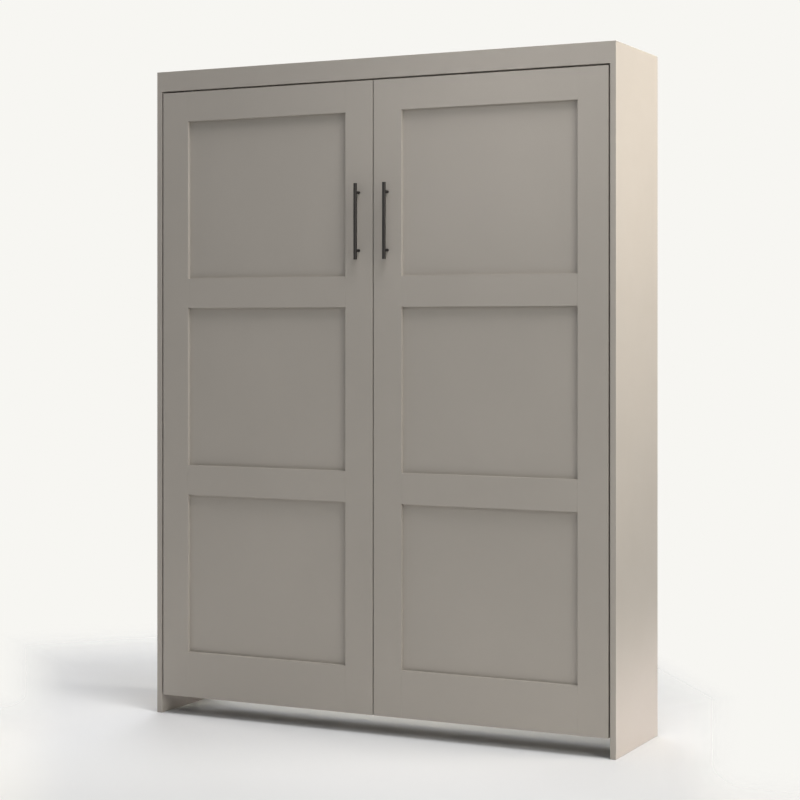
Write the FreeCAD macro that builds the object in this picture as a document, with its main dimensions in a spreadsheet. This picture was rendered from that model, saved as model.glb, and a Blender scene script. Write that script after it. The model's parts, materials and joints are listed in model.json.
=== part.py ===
import FreeCAD
import Part
import itertools
import math
import os
import Sketcher

# Wall bed for one queen mattress, standing closed against the wall.
# Across is x, depth behind the front of the cabinet runs towards +y, height is z.
# The mattress sets the frame, the frame sets the two false doors, the doors set the cabinet.

doc = FreeCAD.newDocument("wall_bed")
sheet = doc.addObject("Spreadsheet::Sheet", "Sizes")
HALF_TURN = 180
QUARTER_TURN = 90
PARALLEL_LIMIT = math.cos(math.radians(1))
SAME_PLANE = 1e-3


def formula(term):
    return term.formula if isinstance(term, Size) else str(term)


def number(term):
    return term.number if isinstance(term, Size) else term


class Size:
    """A length, angle or count: its formula on the sheet and its present number."""

    def __init__(self, text, amount):
        self.formula = text
        self.number = amount

    def __add__(self, other):
        return Size(f"({self.formula} + {formula(other)})", self.number + number(other))

    def __sub__(self, other):
        return Size(f"({self.formula} - {formula(other)})", self.number - number(other))

    def __rsub__(self, other):
        return Size(f"({formula(other)} - {self.formula})", number(other) - self.number)

    def __mul__(self, other):
        return Size(f"({self.formula} * {formula(other)})", self.number * number(other))

    def __truediv__(self, other):
        return Size(f"({self.formula} / {formula(other)})", self.number / number(other))

    def __neg__(self):
        return Size(f"(0 - {self.formula})", -self.number)

    __radd__ = __add__
    __rmul__ = __mul__


def sine(angle):
    return Size(f"sin({angle.formula})", math.sin(math.radians(angle.number)))


def cosine(angle):
    return Size(f"cos({angle.formula})", math.cos(math.radians(angle.number)))


sheet_rows = itertools.count(1)


def size(alias, amount):
    row = next(sheet_rows)
    sheet.set(f"A{row}", alias)
    sheet.set(f"B{row}", str(amount))
    sheet.setAlias(f"B{row}", alias)
    return Size(f"Sizes.{alias}", amount)


# Mattress and the frame that holds it.
mattress_width = size("mattress_width", 1524)
mattress_length = size("mattress_length", 2032)
mattress_thickness = size("mattress_thickness", 240)
mattress_corner = size("mattress_corner", 60)
mattress_edge = size("mattress_edge", 36)
mattress_border = size("mattress_border", 30)
mattress_padding = size("mattress_padding", 18)
side_play = size("side_play", 6)
end_play = size("end_play", 2)
bedding_gap = size("bedding_gap", 0.3)
frame_board = size("frame_board", 22)
frame_depth = size("frame_depth", 198)
ledger_width = size("ledger_width", 20)
ledger_depth = size("ledger_depth", 22)
beam_width = size("beam_width", 70)
slat_width = size("slat_width", 70)
slat_thickness = size("slat_thickness", 14)
slat_play = size("slat_play", 3)
slat_count = 16

# Cabinet.
board_thickness = size("board_thickness", 19)
cabinet_depth = size("cabinet_depth", 400)
header_height = size("header_height", 69)
back_rail_height = size("back_rail_height", 120)
headboard_height = size("headboard_height", 260)
headboard_rise = size("headboard_rise", 520)
cleat_width = size("cleat_width", 22)
cleat_inset = size("cleat_inset", 60)
wall_hole_spacing = size("wall_hole_spacing", 1219.2)
wall_hole_pitch = size("wall_hole_pitch", 70)
wall_hole_radius = size("wall_hole_radius", 4)
bracket_arm = size("bracket_arm", 40)
bracket_thickness = size("bracket_thickness", 3)
bracket_length = size("bracket_length", 60)
bracket_drop = size("bracket_drop", 100)

# False doors: stiles and rails grooved for flat panels.
reveal = size("reveal", 6)
kick_height = size("kick_height", 64)
face_overhang = size("face_overhang", 8)
centre_gap = size("centre_gap", 4)
stile_width = size("stile_width", 102)
rail_width = size("rail_width", 102)
bottom_rail_width = size("bottom_rail_width", 156)
leaf_thickness = size("leaf_thickness", 24)
panel_setback = size("panel_setback", 13)
panel_thickness = size("panel_thickness", 6)
groove_depth = size("groove_depth", 10)
panel_play = size("panel_play", 1)

# Bar pulls.
handle_diameter = size("handle_diameter", 12)
handle_length = size("handle_length", 252)
handle_spacing = size("handle_spacing", 192)
handle_standoff = size("handle_standoff", 26)
handle_drop = size("handle_drop", 466)
post_radius = size("post_radius", 5)

# Fold hinge and its plates.
swing_gap = size("swing_gap", 38)
pivot_setback = size("pivot_setback", 115)
pivot_height = size("pivot_height", 300)
plate_thickness = size("plate_thickness", 5)
plate_margin = size("plate_margin", 38)
plate_corner = size("plate_corner", 14)
pin_radius = size("pin_radius", 8)
collar_radius = size("collar_radius", 13)
bush_wall = size("bush_wall", 3)
bush_flange_radius = size("bush_flange_radius", 16)
bush_flange = size("bush_flange", 2.5)

# Gas struts between the cabinet plates and the tail of the bed.
tail_inset = size("tail_inset", 15)
anchor_angle = size("anchor_angle", 12)
tail_angle = size("tail_angle", 8)
stud_radius = size("stud_radius", 4)
stud_end = size("stud_end", 2.5)
stud_flange_radius = size("stud_flange_radius", 10)
stud_flange = size("stud_flange", 3)
eye_radius = size("eye_radius", 9)
eye_width = size("eye_width", 13)
neck_radius = size("neck_radius", 5)
neck_length = size("neck_length", 18)
tube_radius = size("tube_radius", 10)
tube_wall = size("tube_wall", 1.5)
tube_end = size("tube_end", 4)
tube_roll = size("tube_roll", 2)
mouth_wall = size("mouth_wall", 8)
rod_radius = size("rod_radius", 4)
piston_length = size("piston_length", 12)
strut_slack = size("strut_slack", 2)

# Foot leg: a bail that swings over the foot of the bed.
leg_bar_gap = size("leg_bar_gap", 16.7)
leg_inset = size("leg_inset", 100)
leg_width = size("leg_width", 32)
leg_plate = size("leg_plate", 8)
leg_clear = size("leg_clear", 5)
leg_collar = size("leg_collar", 9.5)
leg_collar_radius = size("leg_collar_radius", 12)
leg_pin_radius = size("leg_pin_radius", 6)
leg_bolt_radius = size("leg_bolt_radius", 4)
leg_bolt_length = size("leg_bolt_length", 18)
leg_head_radius = size("leg_head_radius", 10)
leg_head = size("leg_head", 4)
leg_bar_radius = size("leg_bar_radius", 15)
leg_bar_wall = size("leg_bar_wall", 2)
elbow_radius = size("elbow_radius", 28)
leg_end_radius = size("leg_end_radius", 15)
foot_wall = size("foot_wall", 4)
foot_length = size("foot_length", 60)
foot_inset = size("foot_inset", 20)

# Stops that the frame closes against.
stop_drop = size("stop_drop", 492)
stop_height = size("stop_height", 60)
stop_depth = size("stop_depth", 40)
bumper_radius = size("bumper_radius", 9)
bumper_thickness = size("bumper_thickness", 5)

# Clearances, and the overrun of a cut past the face it leaves by.
running_fit = size("running_fit", 0.3)
seated_fit = size("seated_fit", 0.1)
overrun = size("overrun", 5)

# Lines across, heights and depths that follow from the sizes above.
rail_in = mattress_width / 2 + side_play
rail_out = rail_in + frame_board
inner = rail_out + swing_gap
leaf_out = inner - reveal
leaf_in = centre_gap / 2
opening_in = leaf_in + stile_width
opening_out = leaf_out - stile_width

frame_bottom = kick_height + face_overhang
head_top = frame_bottom + frame_board
foot_bottom = head_top + mattress_length + 2 * end_play
frame_top = foot_bottom + frame_board
face_top = frame_top + face_overhang
header_bottom = face_top + reveal
cabinet_top = header_bottom + header_height
top_under = cabinet_top - board_thickness
opening_height = (face_top - kick_height - 3 * rail_width - bottom_rail_width) / 3
opening_pitch = opening_height + rail_width
first_opening = kick_height + bottom_rail_width

handle_reach = handle_standoff + handle_diameter / 2
front = (handle_reach - cabinet_depth) / 2
slat_front = leaf_thickness + ledger_depth
slat_back = slat_front + slat_thickness
mattress_front = slat_back + bedding_gap
mattress_back = mattress_front + mattress_thickness
panel_back = panel_setback + panel_thickness
handle_across = leaf_in + stile_width / 2
handle_centre = face_top - handle_drop

strut_across = rail_out + swing_gap / 2
bed_plate_out = rail_out + plate_thickness
cabinet_plate_in = inner - plate_thickness
strut_radius = (pivot_height - frame_bottom - tail_inset) / cosine(tail_angle)
anchor_setback = pivot_setback + strut_radius * sine(anchor_angle)
anchor_height = pivot_height + strut_radius * cosine(anchor_angle)
tail_setback = pivot_setback + strut_radius * sine(tail_angle)
tail_height = pivot_height - strut_radius * cosine(tail_angle)
strut_tilt = (anchor_angle - tail_angle) / 2
spread = HALF_TURN - anchor_angle - tail_angle
closed_length = 2 * strut_radius * sine(spread / 2)
open_length = 2 * strut_radius * sine((spread - QUARTER_TURN) / 2)
rod_end = open_length - neck_length - tube_end - strut_slack
piston_at = rod_end - piston_length
mouth_in = closed_length - piston_at + strut_slack
tube_stop = mouth_in + mouth_wall

foot_radius = leg_bar_radius + foot_wall
bar_setback = mattress_back + leg_bar_gap + foot_radius
leg_setback = (bar_setback + foot_radius + pivot_setback - pivot_height) / 2
leg_height = face_top - leg_inset
elbow_height = leg_height - leg_inset - leg_clear - leg_width / 2
leg_plate_in = rail_out + leg_collar + running_fit


def deep(depth):
    return front + depth


def bind(piece, prop, amount):
    piece.setExpression(prop, formula(amount))


def place(piece, x, y, z, axis=None, angle=0):
    if axis is not None:
        piece.Placement = FreeCAD.Placement(
            FreeCAD.Vector(), FreeCAD.Rotation(FreeCAD.Vector(*axis), number(angle)))
        bind(piece, "Placement.Rotation.Angle", angle)
    bind(piece, "Placement.Base.x", x)
    bind(piece, "Placement.Base.y", y)
    bind(piece, "Placement.Base.z", z)
    return piece


def board(label, across, depth, height):
    """A plain square-edged board between two lines each way."""
    piece = doc.addObject("Part::Box", label)
    bind(piece, "Length", across[1] - across[0])
    bind(piece, "Width", depth[1] - depth[0])
    bind(piece, "Height", height[1] - height[0])
    return place(piece, across[0], deep(depth[0]), height[0])


ALONG = {"x": ((0, 1, 0), QUARTER_TURN), "y": ((1, 0, 0), -QUARTER_TURN), "z": (None, 0)}


def round_bar(label, way, length, radius, x, y, z):
    piece = doc.addObject("Part::Cylinder", label)
    bind(piece, "Radius", radius)
    bind(piece, "Height", length)
    axis, angle = ALONG[way]
    return place(piece, x, y, z, axis, angle)


def fuse(label, pieces):
    piece = doc.addObject("Part::MultiFuse", label)
    piece.Shapes = pieces
    piece.Refine = True
    return piece


def cut(label, base, tool):
    piece = doc.addObject("Part::Cut", label)
    piece.Base = base
    piece.Tool = tool
    return piece


def group(label, pieces):
    piece = doc.addObject("Part::Compound", label)
    piece.Links = pieces
    return piece


def mirrored(label, source):
    piece = doc.addObject("Part::Mirroring", label)
    piece.Source = source
    piece.Normal = (1, 0, 0)
    return piece


def origin_part(body, role):
    return next(item for item in body.Origin.OriginFeatures if item.Role == role)


def sketch_on(body, role, offset=0):
    sketch = body.newObject("Sketcher::SketchObject", body.Name + "_outline")
    sketch.AttachmentSupport = [(origin_part(body, role), "")]
    sketch.MapMode = "FlatFace"
    bind(sketch, "AttachmentOffset.Base.z", offset)
    return sketch


def pin_point(sketch, edge, spot, across, up):
    for kind, amount in (("DistanceX", across), ("DistanceY", up)):
        row = sketch.addConstraint(
            Sketcher.Constraint(kind, -1, 1, edge, spot, number(amount)))
        bind(sketch, f"Constraints[{row}]", amount)


def draw_outline(sketch, corners):
    points = [FreeCAD.Vector(number(a), number(b), 0) for a, b in corners]
    count = len(points)
    for row in range(count):
        sketch.addGeometry(Part.LineSegment(points[row], points[(row + 1) % count]), False)
    for row in range(count):
        sketch.addConstraint(Sketcher.Constraint("Coincident", row, 2, (row + 1) % count, 1))
        pin_point(sketch, row, 1, *corners[row])


def draw_holes(sketch, holes):
    for across, up, radius in holes:
        middle = FreeCAD.Vector(number(across), number(up), 0)
        edge = sketch.addGeometry(
            Part.Circle(middle, FreeCAD.Vector(0, 0, 1), number(radius)), False)
        pin_point(sketch, edge, 3, across, up)
        row = sketch.addConstraint(Sketcher.Constraint("Radius", edge, number(radius)))
        bind(sketch, f"Constraints[{row}]", radius)


def add_pad(body, role, offset, corners, length, holes=()):
    sketch = sketch_on(body, role, offset)
    draw_outline(sketch, corners)
    draw_holes(sketch, holes)
    pad = body.newObject("PartDesign::Pad", body.Name + "_pad")
    pad.Profile = sketch
    bind(pad, "Length", length)
    sketch.Visibility = False
    return body


def new_body(label):
    return doc.addObject("PartDesign::Body", label)


def turned(label, steps, x, y, z, axis=None, angle=0):
    """A piece turned about its own axis from corners given as radius and distance along."""
    body = new_body(label)
    sketch = sketch_on(body, "XZ_Plane")
    draw_outline(sketch, steps)
    turn = body.newObject("PartDesign::Revolution", body.Name + "_turn")
    turn.Profile = sketch
    turn.ReferenceAxis = (origin_part(body, "Z_Axis"), [""])
    turn.Angle = 2 * HALF_TURN
    place(body, x, y, z, axis, angle)
    return body


def edges_along(shape, way, wanted):
    """Names of the edges between flat faces that run one way and whose middle is wanted."""
    names = []
    for row, edge in enumerate(shape.Edges, start=1):
        faces = shape.ancestorsOfType(edge, Part.Face)
        if any(face.Surface.TypeId != "Part::GeomPlane" for face in faces):
            continue
        run = edge.Vertexes[-1].Point - edge.Vertexes[0].Point
        if abs(run.normalize().dot(way)) > PARALLEL_LIMIT and wanted(edge.CenterOfMass):
            names.append(f"Edge{row}")
    return names


def round_edges(body, radius, names):
    base = body.Tip
    fillet = body.newObject("PartDesign::Fillet", body.Name + "_round")
    fillet.Base = (base, names)
    bind(fillet, "Radius", radius)
    doc.recompute()
    return body


ACROSS = FreeCAD.Vector(1, 0, 0)
nodes = []


def keep(*pieces):
    nodes.extend(pieces)


def both_sides(name, piece):
    """Keep a right-hand piece and its mirror image as two nodes."""
    piece.Label = "right_" + name
    keep(piece, mirrored("left_" + name, piece))


def pair(label, piece):
    """Keep a right-hand piece and its mirror image together as one node."""
    keep(group(label, [piece, mirrored(label + "_twin", piece)]))


# Cabinet: two sides, top, header over the doors, two boards at the back.
both_sides("side_panel", board("right_side_panel", (inner, inner + board_thickness), (0, cabinet_depth),
                               (0, cabinet_top)))

keep(board("top_panel", (-inner, inner), (board_thickness, cabinet_depth), (top_under, cabinet_top)))
keep(board("header_board", (-inner, inner), (0, board_thickness), (header_bottom, cabinet_top)))
keep(board("header_cleat", (cleat_inset - inner, inner - cleat_inset),
           (board_thickness, board_thickness + cleat_width), (top_under - cleat_width, top_under)))

back_rail = new_body("upper_back_rail")
hole_low = top_under - back_rail_height / 2 - wall_hole_pitch / 2
add_pad(back_rail, "XZ_Plane", -deep(cabinet_depth), [
    (-inner, top_under - back_rail_height),
    (inner, top_under - back_rail_height),
    (inner, top_under),
    (-inner, top_under),
], board_thickness, [
    (reach, height, wall_hole_radius)
    for reach in (-wall_hole_spacing / 2, wall_hole_spacing / 2)
    for height in (hole_low, hole_low + wall_hole_pitch)
])
keep(back_rail)
keep(board("headboard_panel", (-inner, inner), (cabinet_depth - board_thickness, cabinet_depth),
           (headboard_rise, headboard_rise + headboard_height)))


def angle_corners(across, across_end, along, along_end, across_wall, along_wall):
    return [
        (across, along),
        (across_end, along),
        (across_end, along_wall),
        (across_wall, along_wall),
        (across_wall, along_end),
        (across, along_end),
    ]


top_angle = add_pad(new_body("top_angle"), "XZ_Plane", -deep(cabinet_depth / 2), angle_corners(
    inner, inner - bracket_arm, top_under, top_under - bracket_arm,
    inner - bracket_thickness, top_under - bracket_thickness), bracket_length)
back_in = cabinet_depth - board_thickness
head_angle = add_pad(new_body("head_angle"), "XY_Plane", headboard_rise + bracket_drop, angle_corners(
    inner, inner - bracket_arm, deep(back_in), deep(back_in - bracket_arm),
    inner - bracket_thickness, deep(back_in - bracket_thickness)), bracket_length)
pair("corner_brackets", group("right_brackets", [top_angle, head_angle]))

# Fold hinge on the cabinet: plate, pivot pin and strut stud.
plate_low = pivot_height - plate_margin
plate_high = anchor_height + plate_margin
cabinet_plate = new_body("right_cabinet_plate")
add_pad(cabinet_plate, "YZ_Plane", cabinet_plate_in, [
    (deep(pivot_setback - plate_margin), plate_low),
    (deep(pivot_setback + plate_margin), plate_low),
    (deep(anchor_setback + plate_margin), plate_high),
    (deep(anchor_setback - plate_margin), plate_high),
], plate_thickness)
doc.recompute()
round_edges(cabinet_plate, plate_corner, edges_along(cabinet_plate.Shape, ACROSS, lambda spot: True))
both_sides("cabinet_plate", cabinet_plate)

collar_end = bed_plate_out + bush_flange + 2 * running_fit
pin_length = cabinet_plate_in - rail_in
pin = turned("pivot_pin", [
    (0, 0),
    (collar_radius, 0),
    (collar_radius, cabinet_plate_in - collar_end),
    (pin_radius, cabinet_plate_in - collar_end),
    (pin_radius, pin_length),
    (0, pin_length),
], cabinet_plate_in, deep(pivot_setback), pivot_height, (0, 1, 0), -QUARTER_TURN)
pair("pivot_pins", pin)


def strut_stud(label, seat, angle, depth, height):
    """A flanged stud welded to a plate face at the seat, for the eye of a strut."""
    tip = swing_gap / 2 - plate_thickness + eye_width / 2 + stud_end
    return turned(label, [
        (0, 0),
        (stud_flange_radius, 0),
        (stud_flange_radius, stud_flange),
        (stud_radius, stud_flange),
        (stud_radius, tip),
        (0, tip),
    ], seat, deep(depth), height, (0, 1, 0), angle)


pair("upper_strut_studs",
     strut_stud("upper_stud", cabinet_plate_in, -QUARTER_TURN, anchor_setback, anchor_height))

# Stops on the cabinet sides, behind the side rails.
bumper_front = frame_depth + running_fit
block_front = bumper_front + bumper_thickness
stop_top = frame_top - stop_drop
stop_middle = stop_top - stop_height / 2
pair("stop_blocks", board("stop_block", (rail_in, inner), (block_front, block_front + stop_depth),
                          (stop_top - stop_height, stop_top)))
pair("stop_bumpers", round_bar("stop_bumper", "y", bumper_thickness, bumper_radius,
                               rail_in + frame_board / 2, deep(bumper_front), stop_middle))

# Bed frame: two long rails, head and foot rails, beam behind the meeting stiles, ledgers, slats.
rail = new_body("right_side_rail")
bush_radius = pin_radius + running_fit + bush_wall
add_pad(rail, "YZ_Plane", rail_in, [
    (deep(leaf_thickness), frame_bottom),
    (deep(frame_depth), frame_bottom),
    (deep(frame_depth), frame_top),
    (deep(leaf_thickness), frame_top),
], frame_board, [
    (deep(pivot_setback), pivot_height, bush_radius + seated_fit),
    (deep(leg_setback), leg_height, leg_bolt_radius + seated_fit),
])
both_sides("side_rail", rail)

box_depth = (leaf_thickness, frame_depth)
keep(board("head_rail", (-rail_in, rail_in), box_depth, (frame_bottom, head_top)))
keep(board("foot_rail", (-rail_in, rail_in), box_depth, (foot_bottom, frame_top)))
keep(board("centre_beam", (-beam_width / 2, beam_width / 2), (leaf_thickness, slat_front),
           (head_top, foot_bottom)))
pair("slat_ledgers", board("slat_ledger", (rail_in - ledger_width, rail_in), (leaf_thickness, slat_front),
                           (head_top, foot_bottom)))

slat_run = foot_bottom - head_top - slat_width - 2 * slat_play
slats = []
for row in range(slat_count):
    low = head_top + slat_play + slat_run * row / (slat_count - 1)
    slats.append(board(f"slat_{row}", (slat_play - rail_in, rail_in - slat_play),
                       (slat_front, slat_back), (low, low + slat_width)))
keep(group("slats", slats))

# Mattress: padding and border all round, with the room of its spring unit inside.
mattress_low = head_top + bedding_gap
mattress_high = mattress_low + mattress_length
bedding = new_body("bedding")
add_pad(bedding, "XZ_Plane", -deep(mattress_back), [
    (-mattress_width / 2, mattress_low),
    (mattress_width / 2, mattress_low),
    (mattress_width / 2, mattress_high),
    (-mattress_width / 2, mattress_high),
], mattress_thickness)
doc.recompute()
round_edges(bedding, mattress_corner,
            edges_along(bedding.Shape, FreeCAD.Vector(0, 1, 0), lambda spot: True))
sleeping_rim = [
    f"Edge{row}" for row, edge in enumerate(bedding.Shape.Edges, start=1)
    if edge.BoundBox.YMin > number(deep(mattress_back)) - SAME_PLANE
]
round_edges(bedding, mattress_edge, sleeping_rim)
core_half = mattress_width / 2 - mattress_border
core = board("spring_room", (-core_half, core_half),
             (mattress_front + mattress_padding, mattress_back - mattress_padding),
             (mattress_low + mattress_border, mattress_high - mattress_border))
keep(cut("mattress", bedding, core))


# False doors: stiles grooved down one edge, rails grooved and tongued, flat panels between.
def stile(label, plain, grooved, toward):
    bottom_of_groove = grooved - toward * groove_depth
    return add_pad(new_body(label), "XY_Plane", kick_height, [
        (plain, deep(0)),
        (grooved, deep(0)),
        (grooved, deep(panel_setback)),
        (bottom_of_groove, deep(panel_setback)),
        (bottom_of_groove, deep(panel_back)),
        (grooved, deep(panel_back)),
        (grooved, deep(leaf_thickness)),
        (plain, deep(leaf_thickness)),
    ], face_top - kick_height)


def door_rail(label, low, high, groove_below, groove_above):
    corners = [(deep(0), low)]
    tongue_low = low
    tongue_high = high
    if groove_below:
        tongue_low = low + groove_depth
        corners += [(deep(panel_setback), low), (deep(panel_setback), tongue_low),
                    (deep(panel_back), tongue_low), (deep(panel_back), low)]
    corners += [(deep(leaf_thickness), low), (deep(leaf_thickness), high)]
    if groove_above:
        tongue_high = high - groove_depth
        corners += [(deep(panel_back), high), (deep(panel_back), tongue_high),
                    (deep(panel_setback), tongue_high), (deep(panel_setback), high)]
    corners.append((deep(0), high))
    body = new_body(label)
    add_pad(body, "YZ_Plane", opening_in, corners, opening_out - opening_in)
    add_pad(body, "YZ_Plane", opening_in - groove_depth, [
        (deep(panel_setback), tongue_low),
        (deep(panel_back), tongue_low),
        (deep(panel_back), tongue_high),
        (deep(panel_setback), tongue_high),
    ], opening_out - opening_in + 2 * groove_depth)
    return body


both_sides("outer_stile", stile("right_outer_stile", leaf_out, opening_out, -1))
both_sides("inner_stile", stile("right_inner_stile", leaf_in, opening_in, 1))
both_sides("bottom_rail", door_rail("right_bottom_rail", kick_height, first_opening, False, True))
middle_rails = []
for row in range(2):
    low = first_opening + opening_height + row * opening_pitch
    middle_rails.append(door_rail(f"middle_rail_{row}", low, low + rail_width, True, True))
both_sides("middle_rails", group("right_middle_rails", middle_rails))
both_sides("top_rail", door_rail("right_top_rail", face_top - rail_width, face_top, True, False))
lip = groove_depth - panel_play
flat_panels = []
for row in range(3):
    low = first_opening + row * opening_pitch
    flat_panels.append(board(f"flat_panel_{row}", (opening_in - lip, opening_out + lip),
                             (panel_setback, panel_back), (low - lip, low + opening_height + lip)))
both_sides("flat_panels", group("right_flat_panels", flat_panels))

# Bar pulls on the meeting stiles.
bar_radius = handle_diameter / 2
bar_low = handle_centre - handle_length / 2
both_sides("handle_bar", round_bar("right_handle_bar", "z", handle_length, bar_radius,
                                   handle_across, deep(-handle_standoff), bar_low))
posts = []
for side in (-1, 1):
    height = handle_centre + side * handle_spacing / 2
    name = "upper_post" if side > 0 else "lower_post"
    blank = round_bar(name + "_blank", "y", handle_standoff, post_radius,
                      handle_across, deep(-handle_standoff), height)
    saddle = round_bar(name + "_saddle", "z", handle_spacing, bar_radius + seated_fit,
                       handle_across, deep(-handle_standoff), height - handle_spacing / 2)
    posts.append(cut(name, blank, saddle))
pair("handle_posts", group("right_posts", posts))

# Fold hinge on the bed: plate, bush and strut stud at the tail.
bed_plate = new_body("right_bed_plate")
bed_plate_low = tail_height - stud_flange_radius - seated_fit
bed_plate_high = pivot_height + plate_margin
add_pad(bed_plate, "YZ_Plane", rail_out, [
    (deep(tail_setback - plate_margin), bed_plate_low),
    (deep(tail_setback + plate_margin), bed_plate_low),
    (deep(pivot_setback + plate_margin), bed_plate_high),
    (deep(pivot_setback - plate_margin), bed_plate_high),
], plate_thickness, [(deep(pivot_setback), pivot_height, bush_radius + seated_fit)])
doc.recompute()
round_edges(bed_plate, plate_corner, edges_along(bed_plate.Shape, ACROSS, lambda spot: True))
both_sides("bed_plate", bed_plate)

bush_length = bush_flange + plate_thickness + frame_board
bush_bore = pin_radius + running_fit
pair("pivot_bushes", turned("pivot_bush", [
    (bush_bore, 0),
    (bush_flange_radius, 0),
    (bush_flange_radius, bush_flange),
    (bush_radius, bush_flange),
    (bush_radius, bush_length),
    (bush_bore, bush_length),
], bed_plate_out + bush_flange, deep(pivot_setback), pivot_height, (0, 1, 0), -QUARTER_TURN))
pair("lower_strut_studs",
     strut_stud("lower_stud", bed_plate_out, QUARTER_TURN, tail_setback, tail_height))


# Gas struts: eye and tube hang from the cabinet, rod and eye stand on the tail of the bed.
def strut_eye(label, depth, height, angle):
    """A flat eye on its stud, with a neck of the same width along the strut."""
    spot = (deep(depth), height)
    eye_in = strut_across - eye_width / 2
    ring = round_bar(label + "_ring", "x", eye_width, eye_radius, eye_in, *spot)
    neck = doc.addObject("Part::Box", label + "_neck")
    bind(neck, "Length", eye_width)
    bind(neck, "Width", 2 * neck_radius)
    bind(neck, "Height", neck_length)
    place(neck, eye_in, deep(depth) - neck_radius * cosine(angle), height - neck_radius * sine(angle),
          (1, 0, 0), angle)
    bore = round_bar(label + "_bore", "x", eye_width + 2 * overrun, stud_radius + running_fit,
                     eye_in - overrun, *spot)
    return cut(label, fuse(label + "_blank", [ring, neck]), bore)


down = HALF_TURN - strut_tilt
up = -strut_tilt
both_sides("strut_eye", strut_eye("right_strut_eye", anchor_setback, anchor_height, down))
inside = tube_radius - tube_wall
both_sides("strut_tube", turned("right_strut_tube", [
    (0, neck_length),
    (tube_radius, neck_length),
    (tube_radius, tube_stop - tube_roll),
    (tube_radius - tube_roll, tube_stop),
    (rod_radius + running_fit, tube_stop),
    (rod_radius + running_fit, mouth_in),
    (inside, mouth_in),
    (inside, neck_length + tube_end),
    (0, neck_length + tube_end),
], strut_across, deep(anchor_setback), anchor_height, (1, 0, 0), down))
piston_radius = inside - running_fit
both_sides("strut_rod", turned("right_strut_rod", [
    (0, neck_length),
    (rod_radius, neck_length),
    (rod_radius, piston_at),
    (piston_radius, piston_at),
    (piston_radius, rod_end),
    (0, rod_end),
], strut_across, deep(tail_setback), tail_height, (1, 0, 0), up))
both_sides("strut_rod_eye", strut_eye("right_strut_rod_eye", tail_setback, tail_height, up))

# Foot leg: two cranked plates on shoulder bolts, joined by a bar with rubber sleeves.
half_leg = leg_width / 2
leg = new_body("right_leg_plate")
add_pad(leg, "YZ_Plane", leg_plate_in, [
    (deep(leg_setback - half_leg), elbow_height - half_leg),
    (deep(bar_setback + half_leg), elbow_height - half_leg),
    (deep(bar_setback + half_leg), elbow_height + half_leg),
    (deep(leg_setback + half_leg), elbow_height + half_leg),
    (deep(leg_setback + half_leg), leg_height + half_leg),
    (deep(leg_setback - half_leg), leg_height + half_leg),
], leg_plate, [(deep(leg_setback), leg_height, leg_pin_radius + running_fit)])
doc.recompute()
leg_middle = number(elbow_height + leg_height) / 2
bar_middle = number(deep((leg_setback + bar_setback) / 2))


def at_elbow(spot):
    return spot.z < leg_middle and spot.y < bar_middle


round_edges(leg, elbow_radius, edges_along(leg.Shape, ACROSS, at_elbow))
round_edges(leg, leg_end_radius, edges_along(leg.Shape, ACROSS, lambda spot: not at_elbow(spot)))
both_sides("leg_plate", leg)

leg_bar = cut("leg_bar",
              round_bar("leg_bar_blank", "x", 2 * leg_plate_in, leg_bar_radius,
                        -leg_plate_in, deep(bar_setback), elbow_height),
              round_bar("leg_bar_bore", "x", 2 * (leg_plate_in + overrun), leg_bar_radius - leg_bar_wall,
                        -leg_plate_in - overrun, deep(bar_setback), elbow_height))
keep(leg_bar)
pair("leg_feet", turned("leg_foot", [
    (leg_bar_radius + seated_fit, 0),
    (foot_radius, 0),
    (foot_radius, foot_length),
    (leg_bar_radius + seated_fit, foot_length),
], leg_plate_in - foot_inset, deep(bar_setback), elbow_height, (0, 1, 0), -QUARTER_TURN))

head_at = leg_collar + leg_plate + 2 * running_fit
pair("leg_bolts", turned("leg_bolt", [
    (0, -leg_bolt_length),
    (leg_bolt_radius, -leg_bolt_length),
    (leg_bolt_radius, 0),
    (leg_collar_radius, 0),
    (leg_collar_radius, leg_collar),
    (leg_pin_radius, leg_collar),
    (leg_pin_radius, head_at),
    (leg_head_radius, head_at),
    (leg_head_radius, head_at + leg_head),
    (0, head_at + leg_head),
], rail_out, deep(leg_setback), leg_height, (0, 1, 0), QUARTER_TURN))

doc.recompute()
for item in doc.Objects:
    if "Invalid" in item.State or "Error" in item.State:
        raise RuntimeError(f"{item.Label} did not build: {item.State}")
for item in nodes:
    if item.Shape.isNull() or not item.Shape.isValid():
        raise RuntimeError(f"{item.Label} has no sound shape")

os.makedirs("parts", exist_ok=True)
for item in nodes:
    item.Shape.exportStep(f"parts/{item.Label}.step")
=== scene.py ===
import json
import math

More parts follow.
